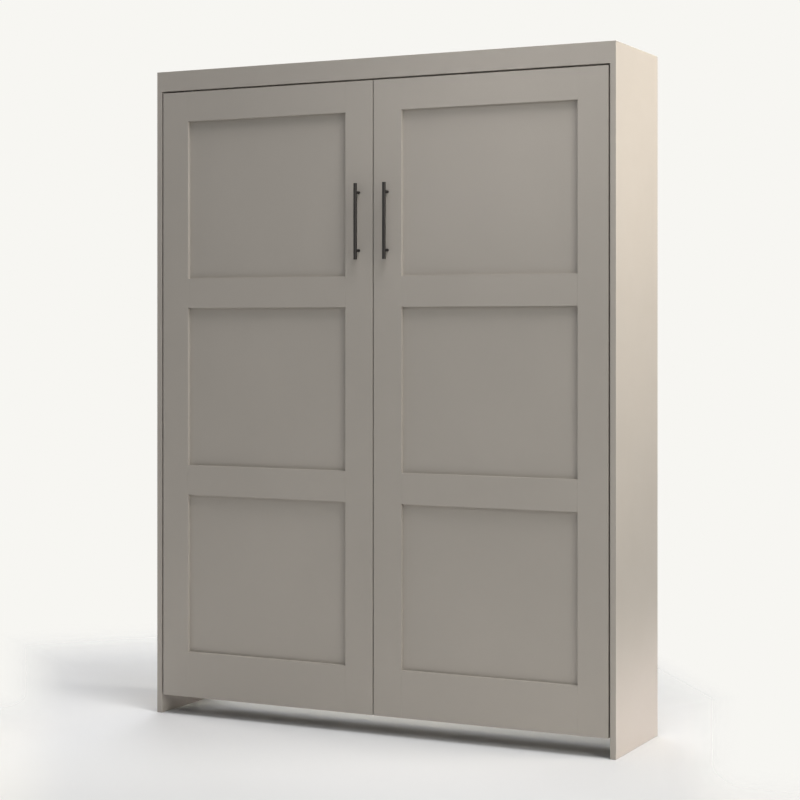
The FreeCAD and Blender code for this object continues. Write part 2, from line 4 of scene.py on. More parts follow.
import bmesh
import bpy
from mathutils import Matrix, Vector


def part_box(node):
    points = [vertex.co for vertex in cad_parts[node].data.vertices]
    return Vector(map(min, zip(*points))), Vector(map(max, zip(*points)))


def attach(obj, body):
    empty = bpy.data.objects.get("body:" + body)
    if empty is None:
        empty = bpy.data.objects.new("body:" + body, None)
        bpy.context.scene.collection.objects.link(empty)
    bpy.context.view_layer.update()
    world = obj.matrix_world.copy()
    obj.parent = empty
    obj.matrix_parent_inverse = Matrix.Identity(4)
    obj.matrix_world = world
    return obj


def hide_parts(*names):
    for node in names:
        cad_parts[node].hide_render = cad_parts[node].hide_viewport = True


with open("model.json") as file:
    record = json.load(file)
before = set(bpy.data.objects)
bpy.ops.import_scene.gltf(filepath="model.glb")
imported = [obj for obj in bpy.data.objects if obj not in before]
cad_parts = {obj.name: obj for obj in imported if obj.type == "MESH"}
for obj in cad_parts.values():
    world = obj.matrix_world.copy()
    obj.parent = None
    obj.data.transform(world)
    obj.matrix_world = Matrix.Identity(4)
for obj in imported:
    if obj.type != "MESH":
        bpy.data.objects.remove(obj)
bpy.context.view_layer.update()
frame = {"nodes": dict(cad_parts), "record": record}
nodes = frame["nodes"]
scene = bpy.context.scene

# Wall bed standing closed: greige lacquered cabinet and false doors, dark bar pulls, and behind
# them a lacquered frame with pine slats and a mattress, steel hinge plates, gas struts and foot leg.
# Lengths are in metres.

TURN = 2 * math.pi
SIDES = (("right", 1), ("left", -1))
ACROSS = Vector((1, 0, 0))
DEPTH = Vector((0, 1, 0))
UP = Vector((0, 0, 1))
MERGE = 1e-5

# Finishes, as linear colours.
GREIGE = (0.430, 0.400, 0.362)
PINE_PALE = (0.70, 0.50, 0.29)
PINE_DARK = (0.50, 0.31, 0.15)
ZINC = (0.62, 0.63, 0.64)
PULL_BLACK = (0.028, 0.026, 0.025)
LEG_GREY = (0.085, 0.085, 0.088)
TUBE_BLACK = (0.018, 0.018, 0.019)
CHROME = (0.80, 0.80, 0.81)
RUBBER = (0.022, 0.021, 0.020)
NYLON = (0.72, 0.70, 0.64)
TICKING = (0.64, 0.62, 0.58)
BORDER_CLOTH = (0.52, 0.49, 0.45)
TAPE_CLOTH = (0.34, 0.31, 0.28)

# Part of a noise's range that is drawn out to its full span.
NOISE_SPAN = (0.3, 0.7)


def shade(colour, amount):
    return tuple(part * amount for part in colour) + (1,)


def node_of(tree, kind, sockets=None, **settings):
    node = tree.nodes.new(kind)
    for key, value in settings.items():
        setattr(node, key, value)
    for key, value in (sockets or {}).items():
        node.inputs[key].default_value = value
    return node


def ramp_between(tree, source, colours, span=NOISE_SPAN):
    """Two colours spread over part of a source's range."""
    ramp = node_of(tree, "ShaderNodeValToRGB")
    for element, place, colour in zip(ramp.color_ramp.elements, span, colours):
        element.position = place
        element.color = colour
    tree.links.new(source, ramp.inputs["Fac"])
    return ramp.outputs["Color"]


def spread(tree, source, low, high):
    """A number that runs from low to high with a source."""
    scale = node_of(tree, "ShaderNodeMapRange", {
        "From Min": NOISE_SPAN[0], "From Max": NOISE_SPAN[1], "To Min": low, "To Max": high})
    tree.links.new(source, scale.inputs["Value"])
    return scale.outputs["Result"]


def noise(tree, place, scale, detail=3.0):
    node = node_of(tree, "ShaderNodeTexNoise", {"Scale": scale, "Detail": detail})
    tree.links.new(place, node.inputs["Vector"])
    return node.outputs["Fac"]


def stretched(tree, place, scale):
    node = node_of(tree, "ShaderNodeMapping", {"Scale": scale})
    tree.links.new(place, node.inputs["Vector"])
    return node.outputs["Vector"]


def arithmetic(tree, operation, first, second):
    step = node_of(tree, "ShaderNodeMath", operation=operation)
    for socket, term in zip(step.inputs, (first, second)):
        if isinstance(term, float):
            socket.default_value = term
        else:
            tree.links.new(term, socket)
    return step.outputs["Value"]


def bump(tree, shader, height, depth, strength):
    node = node_of(tree, "ShaderNodeBump", {"Strength": strength, "Distance": depth})
    tree.links.new(height, node.inputs["Height"])
    tree.links.new(node.outputs["Normal"], shader.inputs["Normal"])


def finish_of(name, **sockets):
    """A new material with its shader and object coordinates."""
    material = bpy.data.materials.new(name)
    material.use_nodes = True
    tree = material.node_tree
    shader = tree.nodes["Principled BSDF"]
    for key, value in sockets.items():
        shader.inputs[key.replace("_", " ")].default_value = value
    place = node_of(tree, "ShaderNodeTexCoord").outputs["Object"]
    return material, tree, shader, place


# Lacquer: clouding and sheen by their scales, and the relief of its orange-peel.
LACQUER_SPECULAR = 0.35
CLOUD_SCALE = 2.3
CLOUD_SHADES = (0.975, 1.025)
SHEEN_SCALE = 9.0
LACQUER_ROUGH = (0.44, 0.52)
PEEL_SCALE = 700.0
PEEL_DETAIL = 2.0
PEEL_DEPTH = 0.0003
PEEL_STRENGTH = 0.18


def lacquer(name, colour):
    """Sprayed satin lacquer: faint clouding, fine orange-peel and uneven sheen."""
    material, tree, shader, place = finish_of(name, Specular_IOR_Level=LACQUER_SPECULAR)
    clouds = noise(tree, place, CLOUD_SCALE)
    colours = ramp_between(tree, clouds, [shade(colour, amount) for amount in CLOUD_SHADES])
    tree.links.new(colours, shader.inputs["Base Color"])
    sheen = spread(tree, noise(tree, place, SHEEN_SCALE), *LACQUER_ROUGH)
    tree.links.new(sheen, shader.inputs["Roughness"])
    peel = noise(tree, place, PEEL_SCALE, detail=PEEL_DETAIL)
    bump(tree, shader, peel, PEEL_DEPTH, PEEL_STRENGTH)
    return material


# Pine: growth bands and pores, drawn out along the grain.
PINE_SPECULAR = 0.3
ALONG_GRAIN = 0.8
OVER_GRAIN = 14.0
BAND_SHAPE = {"Scale": 0.9, "Distortion": 5.0, "Detail": 3.0, "Detail Scale": 1.2}
BAND_SPAN = (0.0, 0.6)
PORE_SCALE = 24.0
PORE_DETAIL = 4.0
PORE_DEPTH = 0.0006
PORE_STRENGTH = 0.25
PINE_ROUGH = (0.50, 0.66)


def timber(name, scale):
    """Planed pine with growth bands and pores drawn out along the board."""
    material, tree, shader, place = finish_of(name, Specular_IOR_Level=PINE_SPECULAR)
    along = stretched(tree, place, scale)
    bands = node_of(tree, "ShaderNodeTexWave", BAND_SHAPE,
                    wave_type="RINGS", rings_direction="SPHERICAL")
    tree.links.new(along, bands.inputs["Vector"])
    colours = ramp_between(tree, bands.outputs["Fac"], (shade(PINE_DARK, 1), shade(PINE_PALE, 1)), BAND_SPAN)
    tree.links.new(colours, shader.inputs["Base Color"])
    pores = noise(tree, along, PORE_SCALE, detail=PORE_DETAIL)
    tree.links.new(spread(tree, pores, *PINE_ROUGH), shader.inputs["Roughness"])
    bump(tree, shader, pores, PORE_DEPTH, PORE_STRENGTH)
    return material


# Metal: flecks in colour and sheen, and a finer relief.
FLECK_SHADES = (0.86, 1.12)
METAL_ROUGH_PART = 0.06
FINER_GRAIN = 6
GRAIN_DEPTH = 0.0002
GRAIN_STRENGTH = 0.12


def metal(name, colour, rough, grain, metallic=1.0):
    """Plated or painted metal with a fine grain in colour and sheen."""
    material, tree, shader, place = finish_of(name, Metallic=metallic)
    flecks = noise(tree, place, grain)
    colours = ramp_between(tree, flecks, [shade(colour, amount) for amount in FLECK_SHADES])
    tree.links.new(colours, shader.inputs["Base Color"])
    sheen = spread(tree, flecks, rough - METAL_ROUGH_PART, rough + METAL_ROUGH_PART)
    tree.links.new(sheen, shader.inputs["Roughness"])
    bump(tree, shader, noise(tree, place, grain * FINER_GRAIN), GRAIN_DEPTH, GRAIN_STRENGTH)
    return material


# Rubber and nylon: the skin that a mould leaves.
MOULDED_SPECULAR = 0.4
SKIN_SHADES = (0.85, 1.15)
SKIN_ROUGH_PART = 0.05
SKIN_DEPTH = 0.0004
SKIN_STRENGTH = 0.2


def moulded(name, colour, rough, grain):
    """Rubber or nylon with a fine moulded skin."""
    material, tree, shader, place = finish_of(name, Specular_IOR_Level=MOULDED_SPECULAR)
    skin = noise(tree, place, grain)
    colours = ramp_between(tree, skin, [shade(colour, amount) for amount in SKIN_SHADES])
    tree.links.new(colours, shader.inputs["Base Color"])
    sheen = spread(tree, skin, rough - SKIN_ROUGH_PART, rough + SKIN_ROUGH_PART)
    tree.links.new(sheen, shader.inputs["Roughness"])
    bump(tree, shader, skin, SKIN_DEPTH, SKIN_STRENGTH)
    return material


# Woven cloth: threads, slubs and sheen.
TICKING_THREADS = 260.0
TAPE_THREADS = 420.0
CLOTH_ROUGH = 0.85
CLOTH_SHEEN = 0.25
CLOTH_SHEEN_ROUGH = 0.5
THREAD_DISTORTION = 1.2
THREAD_DETAIL = 1.0
SLUB_SCALE = 60.0
SLUB_DETAIL = 5.0
SLUB_SHADES = (0.92, 1.06)
WEAVE_DEPTH = 0.0008
WEAVE_STRENGTH = 0.35


def cloth(name, colour, threads):
    """Woven ticking: two crossing sets of threads, slubs and a soft sheen."""
    material, tree, shader, place = finish_of(name, Roughness=CLOTH_ROUGH, Sheen_Weight=CLOTH_SHEEN,
                                              Sheen_Roughness=CLOTH_SHEEN_ROUGH)
    sets = []
    for direction in ("X", "Z"):
        wave = node_of(tree, "ShaderNodeTexWave", {
            "Scale": threads, "Distortion": THREAD_DISTORTION, "Detail": THREAD_DETAIL,
        }, bands_direction=direction)
        tree.links.new(place, wave.inputs["Vector"])
        sets.append(wave.outputs["Fac"])
    weave = arithmetic(tree, "MULTIPLY", *sets)
    slubs = noise(tree, place, SLUB_SCALE, detail=SLUB_DETAIL)
    colours = ramp_between(tree, slubs, [shade(colour, amount) for amount in SLUB_SHADES])
    tree.links.new(colours, shader.inputs["Base Color"])
    bump(tree, shader, weave, WEAVE_DEPTH, WEAVE_STRENGTH)
    return material


pine_tall = timber("pine_tall", (OVER_GRAIN, OVER_GRAIN, ALONG_GRAIN))
pine_across = timber("pine_across", (ALONG_GRAIN, OVER_GRAIN, OVER_GRAIN))
ticking = cloth("ticking", TICKING, TICKING_THREADS)
border_cloth = cloth("border_cloth", BORDER_CLOTH, TICKING_THREADS)
tape_cloth = cloth("tape_cloth", TAPE_CLOTH, TAPE_THREADS)

# Metal and moulded finishes have a colour, a roughness and a scale of their grain.
zinc = metal("zinc_steel", ZINC, 0.34, 160.0)
FINISHES = {
    "painted_board": lacquer("painted_board", GREIGE),
    "painted_door": lacquer("painted_door", GREIGE),
    "pine": pine_tall,
    "zinc_steel": zinc,
    "black_pull": metal("black_pull", PULL_BLACK, 0.40, 220.0, metallic=0.8),
    "leg_steel": metal("leg_steel", LEG_GREY, 0.46, 300.0, metallic=0.2),
    "strut_tube": metal("strut_tube", TUBE_BLACK, 0.28, 900.0, metallic=0.1),
    "strut_rod": metal("strut_rod", CHROME, 0.14, 260.0),
    "strut_eye": metal("strut_eye", ZINC, 0.30, 200.0),
    "rubber": moulded("rubber", RUBBER, 0.68, 320.0),
    "bush": moulded("bush", NYLON, 0.46, 260.0),
    "ticking": ticking,
}

# Boards with their grain across the bed, and boards whose holes keep plain edges.
CROSS_BOARDS = ("header_cleat", "slats")
DRILLED_BOARDS = ("upper_back_rail", "left_side_rail", "right_side_rail")

# Eased arris of each kind of piece.
EASED = {
    "painted_board": 0.0006,
    "painted_door": 0.0005,
    "pine": 0.0020,
    "zinc_steel": 0.0004,
    "leg_steel": 0.0008,
    "rubber": 0.0012,
}
EASED_REST = 0.0003
EASE_STEPS = 2
EASE_ABOVE = math.radians(35)


def dress(name, slot):
    """Give a piece its finish and, unless it is drilled, its eased arrises."""
    piece = nodes[name]
    piece.data.materials.clear()
    piece.data.materials.append(pine_across if name in CROSS_BOARDS else FINISHES[slot])
    if name in DRILLED_BOARDS:
        return
    piece.modifiers.new("weld", "WELD").merge_threshold = MERGE
    ease = piece.modifiers.new("ease", "BEVEL")
    ease.width = EASED.get(slot, EASED_REST)
    ease.segments = EASE_STEPS
    ease.limit_method = "ANGLE"
    ease.angle_limit = EASE_ABOVE
    piece.modifiers.new("shading", "WEIGHTED_NORMAL").keep_sharp = True


for entry in frame["record"]["subparts"]:
    dress(entry["node"], entry["material_slot"])


def piece_from(name, mesh, material, body, smooth=True):
    """A finished piece that moves with a body and takes the finish it is given."""
    bmesh.ops.recalc_face_normals(mesh, faces=mesh.faces)
    data = bpy.data.meshes.new(name)
    mesh.to_mesh(data)
    mesh.free()
    piece = bpy.data.objects.new(name, data)
    scene.collection.objects.link(piece)
    data.materials.append(material)
    for face in data.polygons:
        face.use_smooth = smooth
    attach(piece, body)
    return piece


# Turned fasteners: each row of a profile is a radius, a distance along and whether it is a hexagon.
TURNED_STEPS = 24
HEX_STEP = TURN / 6

# Button head with its hexagon socket, as shares of its radius and height.
BUTTON_HEAD = (
    (0.94, 0.00, False),
    (1.00, 0.12, False),
    (0.97, 0.40, False),
    (0.84, 0.74, False),
    (0.66, 0.95, False),
    (0.56, 1.00, False),
    (0.50, 0.94, True),
    (0.50, 0.30, True),
)
RING_EASE = 0.2


def hexagon(angle):
    """Reach of a hexagon at an angle, as a share of the circle round it."""
    return math.cos(HEX_STEP / 2) / math.cos(angle % HEX_STEP - HEX_STEP / 2)


def join_rings(mesh, pairs, material=0):
    """Join each pair of closed rings of vertices by a band of faces."""
    for here, there in pairs:
        for step in range(len(here)):
            after = (step + 1) % len(here)
            face = mesh.faces.new((here[step], here[after], there[after], there[step]))
            face.material_index = material


def lathe(mesh, spot, way, profile, closed=False):
    """Turn a profile about a way through a spot, capped at both ends or closed into a ring."""
    side = way.orthogonal().normalized()
    other = way.cross(side)
    rings = []
    for radius, along, hexed in profile:
        ring = []
        for step in range(TURNED_STEPS):
            angle = TURN * step / TURNED_STEPS
            reach = radius * (hexagon(angle) if hexed else 1)
            out = side * math.cos(angle) + other * math.sin(angle)
            ring.append(mesh.verts.new(spot + way * along + out * reach))
        rings.append(ring)
    pairs = list(zip(rings, rings[1:]))
    if closed:
        pairs.append((rings[-1], rings[0]))
    else:
        mesh.faces.new(rings[0])
        mesh.faces.new(rings[-1])
    join_rings(mesh, pairs)


def screw_head(mesh, spot, way, radius, height):
    """A button head with a hexagon socket, seated at the spot and facing one way."""
    lathe(mesh, spot, way, [(radius * out, height * along, hexed) for out, along, hexed in BUTTON_HEAD])


def clip_ring(mesh, spot, way, inner, outer, thickness):
    """A flat ring with eased outer edges."""
    ease = thickness * RING_EASE
    lathe(mesh, spot, way, [
        (inner, 0, False),
        (outer - ease, 0, False),
        (outer, ease, False),
        (outer, thickness - ease, False),
        (outer - ease, thickness, False),
        (inner, thickness, False),
    ], closed=True)


# Screws of the hinge plates, two at each end of a plate.
PLATE_SCREW_INSET = 0.013
PLATE_SCREW_SPACING = 0.050
PLATE_SCREW_RADIUS = 0.0052
PLATE_SCREW_HEIGHT = 0.0030
TAIL_SCREW_RISE = 0.0461


def plate_screws(mesh, way, low, high, front_z, back_z):
    """Two screws at the front end of a plate and two at its back end, on the face that looks one way."""
    face = high.x if way.x > 0 else low.x
    back_y = high.y - PLATE_SCREW_SPACING - 2 * PLATE_SCREW_INSET
    for y, z in ((low.y, front_z), (back_y, back_z)):
        for reach in (PLATE_SCREW_INSET, PLATE_SCREW_INSET + PLATE_SCREW_SPACING):
            screw_head(mesh, Vector((face, y + reach, z)), way, PLATE_SCREW_RADIUS, PLATE_SCREW_HEIGHT)


cabinet_screws = bmesh.new()
bed_screws = bmesh.new()
for side, sign in SIDES:
    low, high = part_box(side + "_cabinet_plate")
    plate_screws(cabinet_screws, -sign * ACROSS, low, high,
                 low.z + PLATE_SCREW_INSET, high.z - PLATE_SCREW_INSET)
    low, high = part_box(side + "_bed_plate")
    plate_screws(bed_screws, sign * ACROSS, low, high,
                 high.z - PLATE_SCREW_INSET, low.z + TAIL_SCREW_RISE)
piece_from("cabinet_plate_screws", cabinet_screws, zinc, "cabinet")
piece_from("bed_plate_screws", bed_screws, zinc, "bed")

# Screws of the corner brackets, two in each arm.
BRACKET_WALL = 0.003
BRACKET_SCREW_PLACES = (0.015, 0.045)
BRACKET_SCREW_REACH = 0.024
BRACKET_SCREW_RADIUS = 0.0042
BRACKET_SCREW_HEIGHT = 0.0024

bracket_screws = bmesh.new()
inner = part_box("right_side_panel")[0].x
top_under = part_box("top_panel")[0].z
back_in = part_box("headboard_panel")[0].y
brackets_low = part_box("corner_brackets")[0]
for side, sign in SIDES:
    arm = sign * (inner - BRACKET_SCREW_REACH)
    wall = sign * (inner - BRACKET_WALL)
    for place in BRACKET_SCREW_PLACES:
        y = brackets_low.y + place
        z = brackets_low.z + place
        for spot, way in (
            ((arm, y, top_under - BRACKET_WALL), -UP),
            ((wall, y, top_under - BRACKET_SCREW_REACH), -sign * ACROSS),
            ((arm, back_in - BRACKET_WALL, z), -DEPTH),
            ((wall, back_in - BRACKET_SCREW_REACH, z), -sign * ACROSS),
        ):
            screw_head(bracket_screws, Vector(spot), way, BRACKET_SCREW_RADIUS, BRACKET_SCREW_HEIGHT)
piece_from("bracket_screws", bracket_screws, zinc, "cabinet")

# Clips on the strut studs, wiper rings at the tube mouths and caps on the leg bolts.
EYE_RADIUS = 0.009
CLIP_INNER = 0.0040
CLIP_OUTER = 0.0066
CLIP_THICKNESS = 0.0009
CLIP_SETBACK = 0.0006
WIPER_INNER = 0.0043
WIPER_OUTER = 0.0068
WIPER_THICKNESS = 0.0016
BOLT_CAP_RADIUS = 0.0092
BOLT_CAP_HEIGHT = 0.0022

upper_clips = bmesh.new()
lower_clips = bmesh.new()
bolt_caps = bmesh.new()
for side, sign in SIDES:
    low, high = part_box(side + "_strut_eye")
    anchor = Vector(((low.x + high.x) / 2, (low.y + high.y) / 2, high.z - EYE_RADIUS))
    face = (high.x - low.x) / 2 + CLIP_SETBACK
    clip_ring(upper_clips, anchor - sign * ACROSS * face, -sign * ACROSS,
              CLIP_INNER, CLIP_OUTER, CLIP_THICKNESS)
    low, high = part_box(side + "_strut_rod_eye")
    tail = Vector(((low.x + high.x) / 2, (low.y + high.y) / 2, low.z + EYE_RADIUS))
    clip_ring(lower_clips, tail + sign * ACROSS * face, sign * ACROSS,
              CLIP_INNER, CLIP_OUTER, CLIP_THICKNESS)
    run = (tail - anchor).normalized()
    mouth = max((vertex.co - anchor).dot(run) for vertex in nodes[side + "_strut_tube"].data.vertices)
    wiper = bmesh.new()
    clip_ring(wiper, anchor + run * mouth, run, WIPER_INNER, WIPER_OUTER, WIPER_THICKNESS)
    piece_from(side + "_strut_wiper", wiper, FINISHES["rubber"], side + "_strut_cylinder")
    low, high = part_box("leg_bolts")
    head = Vector((high.x if sign > 0 else low.x, (low.y + high.y) / 2, (low.z + high.z) / 2))
    screw_head(bolt_caps, head, sign * ACROSS, BOLT_CAP_RADIUS, BOLT_CAP_HEIGHT)
piece_from("upper_stud_clips", upper_clips, zinc, "cabinet")
piece_from("lower_stud_clips", lower_clips, zinc, "bed")
piece_from("leg_bolt_caps", bolt_caps, zinc, "bed")

# Mattress: a quilted top and a plain underside with taped rims, and a channelled border between them.
CELLS_ACROSS = 120
CELLS_ALONG = 160
DIAMOND = 10
CORNER = 0.070
RIM_INSET = 0.006
TOP_RIM = 0.034
LOW_RIM = 0.020
SHOULDER = 0.075
FIELD = 0.012
CROWN = 0.003
PUFF = 0.0085
PUFF_FULLNESS = 0.6
SLIDE = 0.003
PULL_IN = 0.004
PULL_IN_POWER = 7
BORDER_ROWS = 14
BORDER_BULGE = 0.0045
CHANNELS = (1 / 3, 2 / 3)
CHANNEL_WIDTH = 0.05
CHANNEL_DEPTH = 0.0028
CLOTH_FRAMES = 18
FABRIC = {
    "quality": 6,
    "mass": 0.15,
    "tension_stiffness": 15,
    "compression_stiffness": 8,
    "shear_stiffness": 6,
    "bending_stiffness": 0.8,
    "use_pressure": True,
    "uniform_pressure_force": 3,
    "shrink_min": -0.01,
}

mattress_low, mattress_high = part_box("mattress")
middle = (mattress_low + mattress_high) / 2
half_x = (mattress_high.x - mattress_low.x) / 2 - RIM_INSET
half_z = (mattress_high.z - mattress_low.z) / 2 - RIM_INSET
thickness = mattress_high.y - mattress_low.y


def rim_point(x, z):
    """A point of the panel in plan, with round corners and sides drawn in, and its edge distance."""
    over_x = (abs(x) - half_x + CORNER) / CORNER
    over_z = (abs(z) - half_z + CORNER) / CORNER
    edge = min(half_x - abs(x), half_z - abs(z))
    if over_x > 0 and over_z > 0:
        round_x = over_x * math.sqrt(1 - over_z ** 2 / 2)
        round_z = over_z * math.sqrt(1 - over_x ** 2 / 2)
        edge = CORNER * (1 - math.hypot(round_x, round_z))
        x = math.copysign(half_x - CORNER + CORNER * round_x, x)
        z = math.copysign(half_z - CORNER + CORNER * round_z, z)
    drawn_x = PULL_IN * (1 - (z / half_z) ** 2) * (x / half_x) ** PULL_IN_POWER
    drawn_z = PULL_IN * (1 - (x / half_x) ** 2) * (z / half_z) ** PULL_IN_POWER
    return x - drawn_x, z - drawn_z, max(edge, 0)


def shoulder(edge, run):
    """Rise of a round shoulder at a distance from the edge."""
    part = min(edge / run, 1)
    return math.sqrt(1 - (1 - part) ** 2)


def stitched(row, column):
    return (row + column) % DIAMOND == 0 or (row - column) % DIAMOND == 0


def on_rim(row, column):
    return row in (0, CELLS_ACROSS) or column in (0, CELLS_ALONG)


def panel_places(top):
    """Places of one panel's grid, row by row across the bed."""
    places = []
    for row in range(CELLS_ACROSS + 1):
        for column in range(CELLS_ALONG + 1):
            x, z, edge = rim_point(half_x * (2 * row / CELLS_ACROSS - 1),
                                   half_z * (2 * column / CELLS_ALONG - 1))
            if top:
                crown = CROWN * (1 - (x / half_x) ** 2) * (1 - (z / half_z) ** 2)
                y = thickness - TOP_RIM + (TOP_RIM - FIELD) * shoulder(edge, SHOULDER) + crown
            else:
                y = LOW_RIM * (1 - shoulder(edge, SHOULDER))
            places.append(Vector((middle.x + x, mattress_low.y + y, middle.z + z)))
    return places


def grid_index(row, column):
    return row * (CELLS_ALONG + 1) + column


def grid_faces():
    for row in range(CELLS_ACROSS):
        for column in range(CELLS_ALONG):
            yield (grid_index(row, column), grid_index(row, column + 1),
                   grid_index(row + 1, column + 1), grid_index(row + 1, column))


def padded(places):
    """Raise the padding between the crossing stitch lines."""
    for row in range(CELLS_ACROSS + 1):
        for column in range(CELLS_ALONG + 1):
            rise = abs(math.sin(math.pi * (row + column) / DIAMOND)
                       * math.sin(math.pi * (row - column) / DIAMOND))
            if not on_rim(row, column):
                places[grid_index(row, column)].y += PUFF * rise ** PUFF_FULLNESS
    return places


def settled_as_cloth(places):
    """Let the padded panel settle as cloth held by its stitches, and cap how far a point may move."""
    data = bpy.data.meshes.new("quilting")
    data.from_pydata(places, [], list(grid_faces()))
    panel = bpy.data.objects.new("quilting", data)
    scene.collection.objects.link(panel)
    held = panel.vertex_groups.new(name="stitches")
    held.add([grid_index(row, column) for row in range(CELLS_ACROSS + 1)
              for column in range(CELLS_ALONG + 1)
              if stitched(row, column) or on_rim(row, column)], 1.0, "REPLACE")
    fabric = panel.modifiers.new("fabric", "CLOTH")
    for key, value in FABRIC.items():
        setattr(fabric.settings, key, value)
    fabric.settings.vertex_group_mass = held.name
    fabric.settings.effector_weights.gravity = 0
    fabric.point_cache.frame_end = CLOTH_FRAMES
    for step in range(1, CLOTH_FRAMES + 1):
        scene.frame_set(step)
    shape = panel.evaluated_get(bpy.context.evaluated_depsgraph_get()).to_mesh()
    settled = []
    for place, vertex in zip(places, shape.vertices):
        move = vertex.co - place
        settled.append(place + Vector([max(-SLIDE, min(SLIDE, part)) for part in move]))
    scene.frame_set(1)
    bpy.data.objects.remove(panel)
    return settled


def rim_order():
    """The panel's rim, once round."""
    rim = [(row, 0) for row in range(CELLS_ACROSS)]
    rim += [(CELLS_ACROSS, column) for column in range(CELLS_ALONG)]
    rim += [(row, CELLS_ALONG) for row in range(CELLS_ACROSS, 0, -1)]
    rim += [(0, column) for column in range(CELLS_ALONG, 0, -1)]
    return rim


def outward(ring):
    """Outward directions along a closed ring of places."""
    count = len(ring)
    ways = []
    for step in range(count):
        along = ring[(step + 1) % count] - ring[step - 1]
        ways.append(Vector((along.z, 0, -along.x)).normalized())
    return ways


def channel(part):
    """Depth of the border's sewn channels at a part of its height, as a share."""
    return sum(math.exp(-((part - line) / CHANNEL_WIDTH) ** 2) for line in CHANNELS)


top_places = padded(panel_places(True))
top_places = settled_as_cloth(top_places)
low_places = panel_places(False)

cover = bmesh.new()
top_verts = [cover.verts.new(place) for place in top_places]
low_verts = [cover.verts.new(place) for place in low_places]
for corners in grid_faces():
    cover.faces.new([top_verts[corner] for corner in corners])
    cover.faces.new([low_verts[corner] for corner in reversed(corners)])
rim = rim_order()
top_ring = [top_verts[grid_index(*spot)] for spot in rim]
low_ring = [low_verts[grid_index(*spot)] for spot in rim]
top_rim = [vertex.co.copy() for vertex in top_ring]
low_rim = [vertex.co.copy() for vertex in low_ring]
ways = outward(top_rim)
rings = [top_ring]
for row in range(1, BORDER_ROWS):
    part = row / BORDER_ROWS
    swell = BORDER_BULGE * (4 * part * (1 - part)) ** 0.5 - CHANNEL_DEPTH * channel(part)
    rings.append([
        cover.verts.new(upper.lerp(lower, part) + way * swell)
        for upper, lower, way in zip(top_rim, low_rim, ways)
    ])
rings.append(low_ring)
join_rings(cover, zip(rings, rings[1:]), material=1)
mattress = piece_from("mattress_cover", cover, ticking, "bed")
mattress.data.materials.append(border_cloth)
mattress.modifiers.new("smooth", "SUBSURF").render_levels = 1
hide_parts("mattress")

# Tape sewn over both rims of the mattress.
TAPE_OUT = 0.0050
TAPE_UP = 0.0062
TAPE_STEPS = 10

tape = bmesh.new()
for ring in (top_rim, low_rim):
    loops = []
    for place, way in zip(ring, outward(ring)):
        loops.append([
            tape.verts.new(place + way * TAPE_OUT * math.cos(TURN * step / TAPE_STEPS)
                           + DEPTH * TAPE_UP * math.sin(TURN * step / TAPE_STEPS))
            for step in range(TAPE_STEPS)
        ])
    join_rings(tape, zip(loops, loops[1:] + loops[:1]))
piece_from("mattress_tape", tape, tape_cloth, "bed")

# Webbing handles on the long sides of the mattress.
HANDLE_LENGTH = 0.200
HANDLE_WIDTH = 0.028
HANDLE_THICKNESS = 0.0016
HANDLE_BOW = 0.0030
HANDLE_RISE = 0.160
HANDLE_PLACES = (-0.50, 0.50)
HANDLE_STEPS = 24
HANDLE_SEAT = 0.9
HANDLE_FREE = 0.72
HANDLE_BEND = 4
HANDLE_SECTION = (
    (0, -HANDLE_WIDTH / 2),
    (HANDLE_THICKNESS, -HANDLE_WIDTH / 2),
    (HANDLE_THICKNESS, HANDLE_WIDTH / 2),
    (0, HANDLE_WIDTH / 2),
)

handles = bmesh.new()
side_out = half_x - PULL_IN + BORDER_BULGE * HANDLE_SEAT
for side, sign in SIDES:
    for place in HANDLE_PLACES:
        bands = []
        for step in range(HANDLE_STEPS + 1):
            part = 2 * step / HANDLE_STEPS - 1
            bow = HANDLE_BOW * max(0, 1 - (part / HANDLE_FREE) ** HANDLE_BEND)
            z = middle.z + place + part * HANDLE_LENGTH / 2
            y = mattress_low.y + HANDLE_RISE
            x = middle.x + sign * (side_out + bow)
            bands.append([
                handles.verts.new((x + sign * out, y + rise, z))
                for out, rise in HANDLE_SECTION
            ])
        join_rings(handles, zip(bands, bands[1:]))
        handles.faces.new(bands[0])
        handles.faces.new(bands[-1])
piece_from("mattress_handles", handles, tape_cloth, "bed", smooth=False)

# Pale floor, painted paler still at both sides and well in front (a painted lightening that stands in for
# light), fading out beside the cabinet, behind it and far off, with an off-white surround. The light it
# bounces onto the bed is painted brighter than the floor it shows.
FLOOR_HALF = 12.0
FLOOR_DROP = 0.0003
# The lighter tone is painted light, put at both sides and far in front. The bounce tone is painted light
# too: the floor throws brighter light than it shows.
FLOOR_TONE = (0.722, 0.738, 0.754)
FLOOR_PAINTED_LIGHTER = (0.822, 0.828, 0.815)
FLOOR_PAINTED_BOUNCE = (0.900, 0.900, 0.900)
VIEW_TURN = math.radians(26.30)
FADE_REACH = 6.53
FADE_SHIFT = 0.015
FADE_ACROSS = (0.150, 0.195)
FADE_BEHIND = (1.5, 2.6)
FADE_AHEAD = (-0.10, -0.80)
PAINTED_LIGHTER_AHEAD = (-1.15, -2.00)
FADE_MIDDLE = (0.0, -0.8, 0.0)
FADE_ROUND = (1.9, 3.1)
BACK_RIGHT = (0.8, 0.6, 0.0)
FADE_BACK_RIGHT = (0.95, 1.35)
SURROUND = (0.930, 0.922, 0.888)
AMBIENT_LEVEL = 0.0

floor_data = bpy.data.meshes.new("floor")
floor_data.from_pydata(
    [(x * FLOOR_HALF, y * FLOOR_HALF, -FLOOR_DROP) for x, y in ((-1, -1), (1, -1), (1, 1), (-1, 1))],
    [], [(0, 1, 2, 3)])
floor = bpy.data.objects.new("floor", floor_data)
scene.collection.objects.link(floor)

